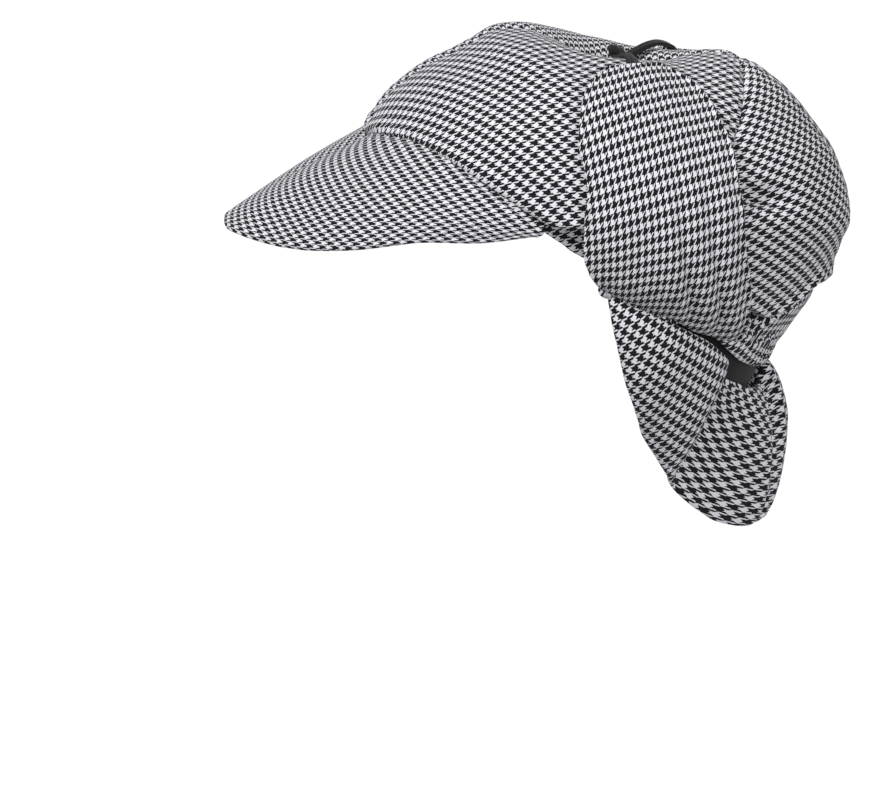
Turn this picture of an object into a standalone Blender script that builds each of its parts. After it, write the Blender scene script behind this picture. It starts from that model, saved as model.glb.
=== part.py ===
"""A deerstalker hat with its ear flaps tied over the crown, as it is worn.

Hat axes: a runs from the front of the opening (negative) to the back, y to the wearer's right,
h up along the axis of the crown. The opening's middle is the origin, and TILT turns the hat
about y, so that the front is worn higher than the back. Lengths are metres, angles degrees.
"""

import math

import bpy
import numpy as np
from mathutils import Matrix

# The opening and the crown
HALF_LENGTH = 0.1060
HALF_WIDTH = 0.0866
CROWN_HEIGHT = 0.0945
TILT = 26.0
APEX_LATITUDE = 74.0
SIDE_SEAM = 68.0
SEAM_DEPTH = 0.0015
SEAM_FADE = 4.0
SEAM_SHALLOWEST = 0.35
SEAM_CLOSENESS = 0.70
GORE_TOP = 0.985
GORE_LOWER_CLOSENESS = 1.35
GROOVE_DEPTH = 0.0058
GROOVE_WIDTH = 0.0095
GROOVE_PLACE = -0.0116
GROOVE_REACH = 0.0440
DENT_DEPTH = 0.0030

# Walls and clearances
CLOTH = 0.0020
FLAP_WALL = 0.0024
PEAK_WALL = 0.0032
LEATHER = 0.0012
GAP = 0.0004

# The band that the crown puffs over, and the rim below it
RIM_ARCH = 0.0168
BAND_HEIGHT = 0.0483
BAND_TUCK = 0.0060
PUFF_OVER = 0.0036
SWEATBAND_HEIGHT = 0.0220
SWEATBAND_DROP = 0.0255
KNEE_LOWEST = 0.15
KNEE_HIGHEST = 0.60

# Peaks
FRONT_LENGTH = 0.0739
FRONT_HALF_SPAN = 78.0
FRONT_CROWNING = 0.0042
REAR_LENGTH = 0.0756
REAR_HALF_SPAN = 78.0
REAR_CROWNING = 0.0184
REAR_SEAT = 0.0008

# Ear flaps
FLAP_LENGTH = 0.1207
FLAP_WIDTH = 0.0945
FLAP_LEAN = 23.0
FLAP_SLANT = 0.0290
FLAP_SLANT_PLACE = 0.39
FLAP_LONGITUDE = -70.0
FLAP_LATITUDE = 35.0
FLAP_FOLD = 0.0006
FLAP_PUFF = 0.0016
FLAP_AIR = 0.0020
FLAP_TURN = 0.09
GATHER_HEIGHT = 0.0014
RIGHT_FLAP_SHARE = 0.90
MAP_RADIUS = 0.0998

# Ribbon
RIBBON_WIDTH = 0.0060
RIBBON_THICKNESS = 0.0024
RIBBON_AIR = 0.0016
RIBBON_START = 0.0016
KNOT_LONGITUDE = 180.0
KNOT_LATITUDE = 75.0
KNOT_LENGTH = 0.0110
KNOT_WIDTH = 0.0085
KNOT_HEIGHT = 0.0060

SHARP_ANGLE = 50.0

# The crown's reach in each direction from the origin, as shares of the plain ellipsoid's.
CROWN_COLUMNS = ("latitude", "front", "side", "rear")
CROWN_SECTIONS = (
    (0, 1.000, 1.000, 1.000),
    (6, 1.025, 1.040, 1.035),
    (12, 1.028, 1.080, 1.095),
    (19, 1.020, 1.110, 1.150),
    (26, 1.014, 1.120, 1.215),
    (31, 1.006, 1.120, 1.268),
    (37, 1.014, 1.120, 1.278),
    (44, 1.042, 1.120, 1.278),
    (50, 1.035, 1.110, 1.265),
    (60, 0.980, 1.100, 1.256),
    (68, 0.932, 1.085, 1.234),
    (75, 0.916, 1.066, 1.200),
    (82, 0.930, 1.045, 1.115),
    (90, 1.000, 1.000, 1.000),
)

# Dents pressed into the crown: where, how wide (degrees), and depths as shares of DENT_DEPTH.
DENT_COLUMNS = ("longitude", "latitude", "wide", "high", "depth")
CROWN_DENTS = (
    (-45, 35, 9, 5, 1.00),
    (38, 42, 12, 8, 0.60),
    (128, 38, 20, 10, 0.50),
)

# Round the opening, by the angle from the front: the rim's height as shares of RIM_ARCH, what
# shows of the band as shares of BAND_HEIGHT, how far the sweatband hangs below the rim as shares
# of SWEATBAND_DROP.
ROUND_COLUMNS = ("angle", "rim", "band", "sweatband")
ROUND_SECTIONS = (
    (0, 0.00, 0.00, -0.04),
    (19, 0.60, 0.00, -0.04),
    (32, 0.94, 0.00, -0.04),
    (45, 1.00, 0.00, -0.04),
    (58, 0.90, 0.00, -0.04),
    (69, 0.77, 0.02, -0.04),
    (79, 0.57, 0.07, -0.04),
    (90, 0.42, 0.24, 0.12),
    (110, 0.20, 0.30, 0.27),
    (125, 0.08, 0.33, 0.31),
    (137, -0.10, 0.36, 0.31),
    (150, -0.50, 0.42, 0.46),
    (156, -0.66, 0.58, 0.56),
    (166, -0.74, 0.93, 0.51),
    (180, -0.72, 1.00, 0.35),
)

# The front peak's rim from its middle to its end, as shares of FRONT_LENGTH from the seam.
FRONT_COLUMNS = ("share", "forward", "inward", "drop", "crowning")
FRONT_SECTIONS = (
    (0.00, 0.577, 0.000, 0.815, 0.45),
    (0.17, 0.557, 0.053, 0.930, 0.60),
    (0.36, 0.511, 0.092, 0.965, 0.85),
    (0.50, 0.526, 0.099, 0.915, 1.00),
    (0.68, 0.511, 0.071, 0.770, 0.95),
    (0.82, 0.398, 0.007, 0.520, 0.60),
    (0.93, 0.213, 0.000, 0.260, 0.25),
    (1.00, 0.030, 0.000, 0.030, 0.00),
)

# The rear peak from the left end (-1) to the right end (1): its rim as shares of REAR_LENGTH
# from the seam, its crowning as shares of REAR_CROWNING, and how far its upper edge hangs below
# the opening's plane, as shares of SWEATBAND_DROP. Left of the middle it has a crease and a dent.
REAR_COLUMNS = ("share", "back", "inward", "drop", "crowning", "edge")
REAR_SECTIONS = (
    (-1.00, 0.000, 0.000, 0.060, 0.00, 0.11),
    (-0.90, 0.030, 0.010, 0.280, 0.22, 0.12),
    (-0.75, 0.040, 0.050, 0.560, 0.42, 0.13),
    (-0.66, 0.020, 0.060, 0.680, 0.48, 0.16),
    (-0.55, -0.010, 0.070, 0.780, 0.50, 0.20),
    (-0.44, 0.010, 0.076, 0.830, 0.46, 0.33),
    (-0.38, 0.030, 0.080, 0.855, 0.44, 0.44),
    (-0.34, 0.040, 0.110, 0.880, 0.02, 0.87),
    (-0.26, 0.110, 0.100, 0.940, 0.08, 0.92),
    (-0.17, 0.210, 0.076, 0.985, 0.28, 0.94),
    (-0.09, 0.310, 0.040, 0.990, 0.46, 0.92),
    (0.00, 0.385, 0.000, 0.985, 0.66, 0.60),
    (0.10, 0.400, 0.030, 0.990, 0.96, 0.50),
    (0.22, 0.345, 0.070, 0.970, 1.00, 0.50),
    (0.36, 0.200, 0.080, 0.900, 0.90, 0.44),
    (0.55, 0.060, 0.070, 0.780, 0.70, 0.20),
    (0.75, 0.040, 0.050, 0.560, 0.45, 0.13),
    (0.90, 0.030, 0.010, 0.280, 0.22, 0.12),
    (1.00, 0.000, 0.000, 0.060, 0.00, 0.11),
)

# Gathers that rise from an ear flap's fold: places from its front edge (0) to its rear edge (1),
# widths in the same shares, heights as shares of GATHER_HEIGHT.
GATHER_COLUMNS = ("place", "wide", "height")
FLAP_GATHERS = (
    (0.20, 0.075, 0.55),
    (0.52, 0.070, 0.90),
    (0.74, 0.060, 1.00),
    (0.90, 0.050, 0.80),
)

# An ear flap's edges from its fold to its tip: how far up it is as a share of FLAP_LENGTH, and
# its front and rear edges as shares of FLAP_WIDTH, measured from its middle line.
FLAP_COLUMNS = ("up", "front", "rear")
FLAP_SECTIONS = (
    (0.00, 0.420, 0.515),
    (0.06, 0.480, 0.480),
    (0.18, 0.505, 0.370),
    (0.34, 0.505, 0.265),
    (0.50, 0.485, 0.243),
    (0.64, 0.490, 0.250),
    (0.78, 0.445, 0.243),
    (0.88, 0.386, 0.217),
    (0.95, 0.310, 0.160),
    (1.00, 0.200, 0.085),
)


def smooth(x, table, column):
    """Reads a table's column at x, along smooth curves that never overshoot its rows."""
    rows = np.array(table, float)
    xs, ys = rows[:, 0], rows[:, column]
    slope = np.diff(ys) / np.diff(xs)
    same_way = slope[:-1] * slope[1:] > 0
    mean = 2 * slope[:-1] * slope[1:] / np.where(same_way, slope[:-1] + slope[1:], 1.0)
    tangent = np.concatenate([slope[:1], np.where(same_way, mean, 0.0), slope[-1:]])
    x = np.clip(x, xs[0], xs[-1])
    i = np.clip(np.searchsorted(xs, x) - 1, 0, len(xs) - 2)
    step = xs[i + 1] - xs[i]
    t = (x - xs[i]) / step
    start = ys[i] * (1 + 2 * t) * (1 - t) ** 2 + step * tangent[i] * t * (1 - t) ** 2
    end = ys[i + 1] * t**2 * (3 - 2 * t) + step * tangent[i + 1] * t**2 * (t - 1)
    return start + end


def unit(vectors):
    """The same vectors at length 1."""
    return vectors / np.linalg.norm(vectors, axis=-1, keepdims=True)


def toward(longitude, latitude):
    """Unit directions at a longitude from the back and a latitude above the opening."""
    lon, lat = np.radians(longitude), np.radians(latitude)
    return np.stack([np.cos(lat) * np.cos(lon), np.cos(lat) * np.sin(lon), np.sin(lat)], -1)


def dents(directions, latitude):
    """The depths of CROWN_DENTS in given directions, as shares of DENT_DEPTH."""
    longitude = np.degrees(np.arctan2(directions[..., 1], directions[..., 0]))
    total = np.zeros(latitude.shape)
    for east, north, wide, high, depth in CROWN_DENTS:
        away = ((longitude - east) / wide) ** 2 + ((latitude - north) / high) ** 2
        total += depth * np.exp(-away)
    return total


def on_crown(directions):
    """Points of the crown's outer face in given directions from the origin."""
    flat = np.hypot(directions[..., 0], directions[..., 1])
    latitude = np.degrees(np.arctan2(directions[..., 2], flat))
    ahead = directions[..., 0] / np.maximum(flat, 1e-9)
    ellipsoid = 1 / np.sqrt(
        (directions[..., 0] / HALF_LENGTH) ** 2
        + (directions[..., 1] / HALF_WIDTH) ** 2
        + (directions[..., 2] / CROWN_HEIGHT) ** 2
    )
    front, side, rear = (
        smooth(np.maximum(latitude, 0), CROWN_SECTIONS, CROWN_COLUMNS.index(name))
        for name in ("front", "side", "rear")
    )
    ends = np.where(ahead > 0, rear, front) * ahead**2
    points = directions * (ellipsoid * (side * (1 - ahead**2) + ends))[..., None]
    across = np.clip(np.abs(points[..., 1]) / GROOVE_REACH, 0, 1)
    groove = np.exp(-(((points[..., 0] - GROOVE_PLACE) / GROOVE_WIDTH) ** 2))
    groove = groove * (1 - across**2) ** 2 * (latitude > APEX_LATITUDE / 2)
    depth = GROOVE_DEPTH * groove + DENT_DEPTH * dents(directions, latitude)
    return points - directions * depth[..., None]


def at_height(longitude, height):
    """Points of the crown's outer face at a longitude and a height above the opening.

    Below the opening's plane the face goes on straight down.
    """
    reach = HALF_WIDTH
    for _ in range(6):
        point = on_crown(toward(longitude, np.degrees(np.arctan2(np.maximum(height, 0), reach))))
        reach = np.hypot(point[..., 0], point[..., 1])
    point[..., 2] = height
    return point


def round_height(longitude, name):
    """A height from ROUND_SECTIONS at a longitude from the back."""
    angle = 180 - np.abs((np.asarray(longitude, float) + 180) % 360 - 180)
    return smooth(angle, ROUND_SECTIONS, ROUND_COLUMNS.index(name))


def rim_height(longitude):
    """The height of the band's lower edge."""
    return RIM_ARCH * round_height(longitude, "rim")


def crease_height(longitude):
    """The height of the crown's lower edge, where it puffs over the band."""
    return rim_height(longitude) + GAP + BAND_HEIGHT * round_height(longitude, "band")


def outward(grid):
    """Unit normals of a grid of points, rows by columns."""
    normals = np.cross(np.gradient(grid, axis=1), np.gradient(grid, axis=0))
    return unit(normals)


def set_in(grid, distance):
    """A grid moved straight towards the axis of the crown."""
    flat = np.linalg.norm(grid[..., :2], axis=-1, keepdims=True)
    shift = np.concatenate([grid[..., :2] / flat, np.zeros_like(flat)], -1)
    return grid - shift * distance


def mirrored(grid):
    """The same piece on the wearer's other side, with its faces still outwards."""
    return (grid * (1, -1, 1))[:, ::-1]


def parted(grid, left, right):
    """A grid whose first and last columns are drawn in by half a clearance where asked."""
    grid = grid.copy()
    if left:
        grid[:, 0] += unit(grid[:, 1] - grid[:, 0]) * GAP / 2
    if right:
        grid[:, -1] += unit(grid[:, -2] - grid[:, -1]) * GAP / 2
    return grid


def gore(first, last, rows=13, columns=13):
    """A panel of the crown between two seams, from its lower edge to the crown's apex."""
    share = np.linspace(0, 1, columns)
    share = share - SEAM_CLOSENESS * np.sin(2 * math.pi * share) / (2 * math.pi)
    longitude = first + (last - first) * share
    lower = unit(at_height(longitude, crease_height(longitude)))
    apex = toward(0.0, APEX_LATITUDE)
    angle = np.arccos(np.clip(lower @ apex, -1, 1))[None, :, None]
    up = GORE_TOP * np.linspace(0, 1, rows)[:, None, None] ** GORE_LOWER_CLOSENESS
    directions = np.sin((1 - up) * angle) * lower + np.sin(up * angle) * apex
    grid = on_crown(directions / np.sin(angle))
    seam = np.zeros((1, columns, 1))
    seam[:, [0, -1]] = SEAM_DEPTH
    fade = np.minimum(1, SEAM_SHALLOWEST + SEAM_FADE * np.minimum(up, 1 - up))
    grid = grid - unit(grid) * seam * fade
    return parted(grid, left=True, right=True)


def ring(columns=56):
    """Longitudes once round the opening, from the left of the front, the last one repeated."""
    return np.linspace(-180, 180, columns + 1)


def levels(low, high, rows):
    """Rows of heights from low to high, the second one in the opening's plane if it can be."""
    height = high - low
    knee = np.clip(0.0, low + KNEE_LOWEST * height, low + KNEE_HIGHEST * height)
    share = np.linspace(0, 1, rows - 1)[:, None]
    return np.concatenate([low[None], knee + (high - knee) * share])


def headband():
    """The band of the crown's cloth: outer face from the rim up to where it is tucked in."""
    longitude = ring()
    heights = levels(rim_height(longitude), crease_height(longitude) + BAND_TUCK, 5)
    return set_in(at_height(longitude + 0 * heights, heights), PUFF_OVER)


def sweatband():
    """The band inside the opening, which hangs below the rim at the back."""
    longitude = ring()
    rim = rim_height(longitude)
    low = rim - SWEATBAND_DROP * round_height(longitude, "sweatband")
    heights = levels(low, rim + SWEATBAND_HEIGHT, 4)
    return set_in(at_height(longitude + 0 * heights, heights), PUFF_OVER + CLOTH + 2 * GAP)


def front_peak(rows=9, columns=33):
    """The stiff peak in front: from its seam under the crown to its rim, crowned upwards."""
    along = np.linspace(-1, 1, columns)
    share, side = np.abs(along), np.sign(along)
    forward, inward, drop, crowning = (
        smooth(share, FRONT_SECTIONS, FRONT_COLUMNS.index(name)) for name in FRONT_COLUMNS[1:]
    )
    longitude = 180 - side * share * FRONT_HALF_SPAN
    seam = at_height(longitude, rim_height(longitude) - GAP)
    reach = FRONT_LENGTH * np.stack([-forward, -side * inward, -drop], -1)
    out = np.linspace(0, 1, rows)[:, None, None]
    raised = unit(np.stack([-drop, side * drop * share, forward], -1))
    lift = (FRONT_CROWNING * crowning)[None, :, None] * np.sin(math.pi * out)
    return seam + reach * out + raised * lift


def rear_peak(rows=11, columns=45):
    """The soft peak behind: it hangs from the sweatband, and its tip curls in."""
    along = np.linspace(-1, 1, columns)
    side = np.sign(along)
    back, inward, drop, crowning, edge = (
        smooth(along, REAR_SECTIONS, REAR_COLUMNS.index(name)) for name in REAR_COLUMNS[1:]
    )
    longitude = along * REAR_HALF_SPAN
    seam = set_in(at_height(longitude, np.zeros(columns)), PUFF_OVER - REAR_SEAT)
    lowest = np.minimum(rim_height(longitude), 0)
    under_fold = -(FLAP_FOLD + FLAP_WALL + GAP)
    seam[:, 2] = np.minimum(np.minimum(-SWEATBAND_DROP * edge, lowest - GAP), under_fold)
    reach = REAR_LENGTH * np.stack([back, -side * inward, -drop], -1)
    tip = np.stack([seam[:, 0], seam[:, 1], lowest], -1) + reach
    down = np.linspace(0, 1, rows)[:, None, None]
    bow = np.sqrt(np.maximum(0, 1 - (2 * down - 1) ** 2))
    lift = (REAR_CROWNING * crowning)[None, :, None] * bow
    return seam * (1 - down) + tip * down + toward(longitude, 0 * longitude) * lift


def flap_point(across, up):
    """A point of the crown's face over which the left ear flap lies, from its own cloth.

    across is to the front and up to the tip, both in metres from the flap's middle.
    """
    lean = math.radians(FLAP_LEAN)
    east = across * math.cos(lean) + up * math.sin(lean)
    north = up * math.cos(lean) - across * math.sin(lean)
    middle = toward(FLAP_LONGITUDE, FLAP_LATITUDE)
    northward = toward(FLAP_LONGITUDE, FLAP_LATITUDE + 90)
    eastward = np.cross(middle, northward)
    away = np.hypot(east, north)
    turn = (away / MAP_RADIUS)[..., None]
    heading = east[..., None] * eastward + north[..., None] * northward
    heading = heading / np.maximum(away, 1e-9)[..., None]
    return on_crown(np.cos(turn) * middle + np.sin(turn) * heading)


def ear_flap(length, rows=15, columns=17):
    """The left ear flap, folded up from under the rim and laid over the band and the crown."""
    up = np.linspace(0, 1, rows)
    front = FLAP_WIDTH * smooth(up, FLAP_SECTIONS, FLAP_COLUMNS.index("front"))
    rear = FLAP_WIDTH * smooth(up, FLAP_SECTIONS, FLAP_COLUMNS.index("rear"))
    share = np.linspace(0, 1, columns)[None, :]
    across = front[:, None] * (1 - share) - rear[:, None] * share
    slant = FLAP_SLANT * (FLAP_SLANT_PLACE - share) * (1 - up[:, None]) ** 2
    height = length * up[:, None] - FLAP_LENGTH / 2 + slant
    grid = flap_point(across, height)
    longitude = np.degrees(np.arctan2(grid[0, :, 1], grid[0, :, 0]))
    fold = at_height(longitude, np.full(columns, -FLAP_FOLD))
    rise = np.clip(up / FLAP_TURN, 0, 1)[:, None, None]
    grid = set_in(fold, PUFF_OVER) * (1 - rise) + grid * rise
    puff = FLAP_PUFF * np.sin(math.pi * share) * np.sin(math.pi * up)[:, None]
    gathers = sum(
        height * np.exp(-(((share - place) / wide) ** 2)) for place, wide, height in FLAP_GATHERS
    )
    puff = puff + GATHER_HEIGHT * gathers * ((1 - up) ** 2)[:, None] * rise[..., 0]
    air = 2 * GAP * (1 - rise[..., 0]) + FLAP_AIR * rise[..., 0]
    laid = grid + outward(grid) * (FLAP_WALL + air + puff)[..., None]
    laid[0, :, 2] = -FLAP_FOLD
    return laid


def worn(grid):
    """Hat axes to world axes: the front of the opening is tilted up."""
    turn = np.array(Matrix.Rotation(math.radians(TILT), 3, "Y"))
    return grid @ turn.T


def material(name, colour, roughness):
    """A matt material of one colour."""
    made = bpy.data.materials.new(name)
    made.use_nodes = True
    shader = made.node_tree.nodes["Principled BSDF"]
    shader.inputs["Base Color"].default_value = (*colour, 1.0)
    shader.inputs["Roughness"].default_value = roughness
    shader.inputs["Metallic"].default_value = 0.0
    return made


def put(name, mesh, finish, collection):
    """An object of a mesh, shaded smooth except at its edges."""
    mesh.materials.append(finish)
    mesh.shade_smooth()
    mesh.set_sharp_from_angle(angle=math.radians(SHARP_ANGLE))
    made = bpy.data.objects.new(name, mesh)
    collection.objects.link(made)
    return made


def sheet(name, grid, wall, finish, collection, closed=False):
    """A piece cut from cloth: an open surface of a grid of points, with its wall behind it."""
    rows, columns = grid.shape[:2]
    if closed:
        grid, columns = grid[:, :-1], columns - 1
    index = np.arange(rows * columns).reshape(rows, columns)
    right = np.roll(index, -1, axis=1) if closed else index[:, 1:]
    here = index if closed else index[:, :-1]
    faces = np.stack([here[:-1], right[:-1], right[1:], here[1:]], -1).reshape(-1, 4)
    mesh = bpy.data.meshes.new(name)
    mesh.from_pydata(worn(grid).reshape(-1, 3).tolist(), [], faces.tolist())
    made = put(name, mesh, finish, collection)
    solid = made.modifiers.new("wall", "SOLIDIFY")
    solid.thickness = wall
    solid.offset = -1.0
    return made


def strand(name, path, finish, collection, sides=8):
    """A bunched ribbon: an oval section carried along a path of points."""
    ahead = unit(np.gradient(path, axis=0))
    up = unit(path)
    aside = unit(np.cross(ahead, up))
    up = np.cross(aside, ahead)
    turn = np.linspace(0, 2 * math.pi, sides, endpoint=False)[None, :, None]
    oval = RIBBON_WIDTH / 2 * np.cos(turn) * aside[:, None]
    oval = oval + RIBBON_THICKNESS / 2 * np.sin(turn) * up[:, None]
    grid = worn(path[:, None] + oval)
    rows = len(path)
    index = np.arange(rows * sides).reshape(rows, sides)
    turned = np.roll(index, -1, axis=1)
    faces = np.stack([index[:-1], index[1:], turned[1:], turned[:-1]], -1).reshape(-1, 4).tolist()
    faces += [index[0].tolist(), index[-1, ::-1].tolist()]
    mesh = bpy.data.meshes.new(name)
    mesh.from_pydata(grid.reshape(-1, 3).tolist(), [], faces)
    return put(name, mesh, finish, collection)


def ribbon_path(tip, knot_place, points=9):
    """A path over the crown from an ear flap's tip to the side of the knot, laid on the crown."""
    length = np.linalg.norm(tip - knot_place)
    first, last = RIBBON_START / length, 1 - (KNOT_WIDTH / 2 + GAP) / length
    share = np.linspace(first, last, points)[:, None]
    path = on_crown(unit(tip * (1 - share) + knot_place * share))
    return path + unit(path) * (RIBBON_THICKNESS / 2 + RIBBON_AIR)


def knot(name, middle, finish, collection):
    """The knot in the ribbon: a small rounded lump."""
    bpy.ops.mesh.primitive_uv_sphere_add(segments=12, ring_count=8, radius=0.5)
    made = bpy.context.object
    for owner in made.users_collection:
        owner.objects.unlink(made)
    collection.objects.link(made)
    made.name = made.data.name = name
    size = np.diag([KNOT_LENGTH, KNOT_WIDTH, KNOT_HEIGHT])
    corners = np.array([v.co for v in made.data.vertices]) @ size + middle
    made.data.vertices.foreach_set("co", worn(corners).astype(np.float32).ravel())
    made.data.materials.append(finish)
    made.data.shade_smooth()
    return made


def build():
    """Makes every piece of the hat."""
    for old in list(bpy.data.objects):
        bpy.data.objects.remove(old)
    hat = bpy.data.collections.new("deerstalker_hat")
    bpy.context.scene.collection.children.link(hat)
    check = material("houndstooth_cloth", (0.42, 0.41, 0.43), 0.9)
    black = material("black_ribbon", (0.018, 0.018, 0.018), 0.75)
    lining = material("black_sweatband", (0.012, 0.012, 0.012), 0.7)

    front, rear = gore(-180, -SIDE_SEAM), gore(-SIDE_SEAM, 0)
    sheet("crown_front_left", front, CLOTH, check, hat)
    sheet("crown_front_right", mirrored(front), CLOTH, check, hat)
    sheet("crown_rear_left", rear, CLOTH, check, hat)
    sheet("crown_rear_right", mirrored(rear), CLOTH, check, hat)
    sheet("headband", headband(), CLOTH, check, hat, closed=True)
    sheet("sweatband", sweatband(), LEATHER, lining, hat, closed=True)
    sheet("front_peak", front_peak(), PEAK_WALL, check, hat)
    sheet("rear_peak", rear_peak(), PEAK_WALL, check, hat)

    left, right = ear_flap(FLAP_LENGTH), ear_flap(FLAP_LENGTH * RIGHT_FLAP_SHARE)
    sheet("ear_flap_left", left, FLAP_WALL, check, hat)
    sheet("ear_flap_right", mirrored(right), FLAP_WALL, check, hat)

    crossing = on_crown(toward(KNOT_LONGITUDE, KNOT_LATITUDE))
    for name, flap in (("ribbon_left", left), ("ribbon_right", mirrored(right))):
        tip = flap[-1, flap.shape[1] // 2]
        strand(name, ribbon_path(tip, crossing), black, hat)
    knot("ribbon_knot", crossing + unit(crossing) * (KNOT_HEIGHT / 2 + RIBBON_AIR), black, hat)


build()
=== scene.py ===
import math

import bpy
import numpy as np
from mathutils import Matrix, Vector


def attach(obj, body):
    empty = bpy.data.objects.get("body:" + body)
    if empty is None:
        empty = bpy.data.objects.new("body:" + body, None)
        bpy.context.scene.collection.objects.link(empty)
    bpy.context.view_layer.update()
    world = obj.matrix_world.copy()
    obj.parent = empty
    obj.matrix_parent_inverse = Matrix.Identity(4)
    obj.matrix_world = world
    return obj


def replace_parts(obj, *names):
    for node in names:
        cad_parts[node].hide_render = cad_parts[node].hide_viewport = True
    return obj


# Lengths are in metres and angles in degrees throughout.
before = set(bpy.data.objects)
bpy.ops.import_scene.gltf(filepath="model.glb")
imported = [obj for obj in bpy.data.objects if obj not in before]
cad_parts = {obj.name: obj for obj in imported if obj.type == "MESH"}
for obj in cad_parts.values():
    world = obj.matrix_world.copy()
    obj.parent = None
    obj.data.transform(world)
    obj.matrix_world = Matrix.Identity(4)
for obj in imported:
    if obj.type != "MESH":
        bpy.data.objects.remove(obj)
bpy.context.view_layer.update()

# The four gores of the crown: panels of soft houndstooth cloth, cut on the bias in front and
# straight behind, and sewn together from the band up to the crown's highest point. Their seams
# lie in shallow valleys with small puckers, and their lower edges puff over the band.
HALF_LENGTH = 0.1060
HALF_WIDTH = 0.0866
CROWN_HEIGHT = 0.0945
TILT = 26.0
APEX_LATITUDE = 74.0
SIDE_SEAM = 68.0
GORE_TOP = 0.992
GROOVE_DEPTH = 0.0076
GROOVE_WIDTHS = (0.0260, 0.0125)  # in front of its middle and behind it
GROOVE_PLACE = -0.0116
GROOVE_REACHES = (0.0440, 0.0740)  # on the left and on the right
DENT_DEPTH = 0.0030
CLOTH = 0.0020
GAP = 0.0004
RIM_ARCH = 0.0168
BAND_HEIGHT = 0.0483

CROWN_COLUMNS = ("latitude", "front", "side", "rear")
CROWN_SECTIONS = (
    (0, 1.000, 1.000, 1.000),
    (6, 1.025, 1.040, 1.035),
    (12, 1.028, 1.080, 1.095),
    (19, 1.020, 1.110, 1.150),
    (26, 1.014, 1.120, 1.215),
    (31, 1.006, 1.120, 1.268),
    (37, 1.014, 1.120, 1.278),
    (44, 1.042, 1.120, 1.278),
    (50, 1.035, 1.110, 1.265),
    (60, 0.980, 1.100, 1.256),
    (68, 0.932, 1.085, 1.234),
    (75, 0.916, 1.066, 1.200),
    (82, 0.930, 1.045, 1.115),
    (90, 1.000, 1.000, 1.000),
)
# Each dent's longitude and latitude, its reach in both, and its share of DENT_DEPTH.
CROWN_DENTS = (
    (-44, 35.2, 8, 2.6, 2.60),
    (-135, 54, 14, 4.5, 0.70),
    (38, 42, 12, 8, 0.60),
    (128, 38, 20, 10, 0.50),
)
ROUND_COLUMNS = ("angle", "rim", "band", "sweatband")
ROUND_SECTIONS = (
    (0, 0.00, 0.00, -0.04),
    (19, 0.60, 0.00, -0.04),
    (32, 0.94, 0.00, -0.04),
    (45, 1.00, 0.00, -0.04),
    (58, 0.90, 0.00, -0.04),
    (69, 0.77, 0.02, -0.04),
    (79, 0.51, 0.09, -0.08),
    (90, 0.34, 0.27, -0.08),
    (110, 0.20, 0.30, 0.12),
    (125, 0.08, 0.33, 0.31),
    (137, -0.10, 0.36, 0.31),
    (150, -0.50, 0.42, 0.46),
    (156, -0.66, 0.58, 0.56),
    (166, -0.74, 0.93, 0.58),
    (180, -0.72, 1.00, 0.60),
)

EDGE_CLOSENESS = 0.96
NOISE_SQUARES = 64
SEAM_VALLEY = (0.0010, 0, 0.0050)
PUCKER = 0.00040
PUCKER_REACH = 0.0060
PUCKER_SPACING = 0.0090
TUCK_REACH = 0.0080
TUCK_SPACING = 0.0110
UNREST_SIZE = 0.0180
SWELL_PLACE = 0.0034
SWELL_WIDTH = 0.0040
GORE_CURL = 0.0016
CURL_WIDTH = 0.0075
GORE_ROLL = 0.0034
GORE_ROWS = 145
GORE_SOFTNESS = ((0.0006, 0.032), (0.00022, 0.011))
CALM_EDGE = 0.0100


def smooth(x, table, column):
    """A table's column at x, along cubic curves whose slopes never overshoot the table's rows."""
    rows = np.array(table, float)
    xs, ys = rows[:, 0], rows[:, column]
    slope = np.diff(ys) / np.diff(xs)
    same_way = slope[:-1] * slope[1:] > 0
    mean = 2 * slope[:-1] * slope[1:] / np.where(same_way, slope[:-1] + slope[1:], 1.0)
    tangent = np.concatenate([slope[:1], np.where(same_way, mean, 0.0), slope[-1:]])
    x = np.clip(x, xs[0], xs[-1])
    i = np.clip(np.searchsorted(xs, x) - 1, 0, len(xs) - 2)
    step = xs[i + 1] - xs[i]
    t = (x - xs[i]) / step
    start = ys[i] * (1 + 2 * t) * (1 - t) ** 2 + step * tangent[i] * t * (1 - t) ** 2
    end = ys[i + 1] * t**2 * (3 - 2 * t) + step * tangent[i + 1] * t**2 * (t - 1)
    return start + end


def ridge(distance, place, width, power=2):
    """A smooth ridge: 1 at its place, and dying away on both sides at about its width."""
    return np.exp(-(((distance - place) / width) ** power))


def line(distance, measures):
    """A ridge along an edge, from its height, its place and its width."""
    height, place, width = measures
    return height * ridge(distance, place, width)


def unit(vectors):
    """The same vectors at length 1."""
    return vectors / np.maximum(np.linalg.norm(vectors, axis=-1, keepdims=True), 1e-12)


def toward(longitude, latitude):
    """Unit directions at a longitude from the back and a latitude above the opening."""
    lon, lat = np.broadcast_arrays(np.radians(longitude), np.radians(latitude))
    return np.stack([np.cos(lat) * np.cos(lon), np.cos(lat) * np.sin(lon), np.sin(lat)], -1)


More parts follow.
